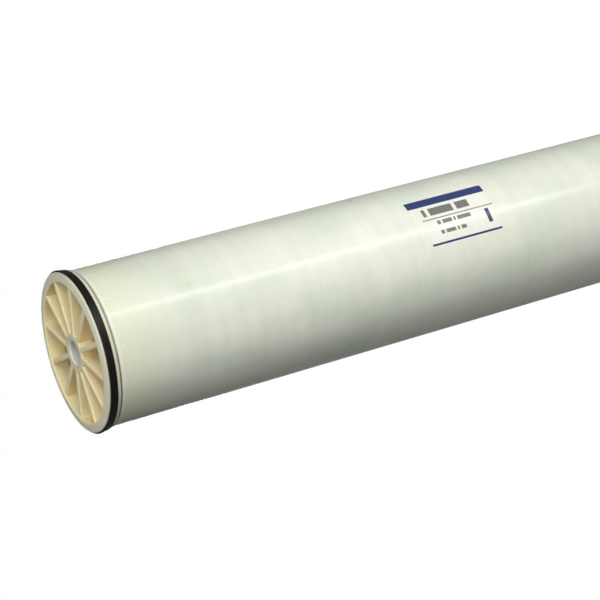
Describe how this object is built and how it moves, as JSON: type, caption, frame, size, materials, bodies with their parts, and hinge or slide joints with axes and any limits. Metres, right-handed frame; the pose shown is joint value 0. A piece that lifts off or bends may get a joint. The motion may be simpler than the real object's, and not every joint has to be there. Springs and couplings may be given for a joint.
{
  "type": "ro membrane element",
  "caption": "Spiral-wound reverse-osmosis element: fibreglass shell on a membrane roll, spoked end caps, a product-water tube and a brine seal at the feed end.",
  "frame": {"origin": "centre of the outlet end, in the plane of the end cap's flat land", "axes": "+Z along the element's axis, from the outlet end up to the feed end, which carries the seal; +X along a spoke"},
  "size_m": [0.2052, 0.2052, 1.016],
  "materials": {
    "tube_plastic": "satin moulded plastic, grey-green white",
    "membrane": "wound membrane and net, seen edge-on",
    "cap_plastic": "satin cream moulded plastic",
    "seal_rubber": "smooth black rubber",
    "fibreglass": "glossy resin over wound glass fibre, pale green"
  },
  "bodies": {
    "root": {"permeate_tube": "tube_plastic", "membrane_roll": "membrane", "feed_end_cap": "cap_plastic", "outlet_end_cap": "cap_plastic", "brine_seal": "seal_rubber", "fibreglass_shell": "fibreglass"}
  },
  "joints": []
}
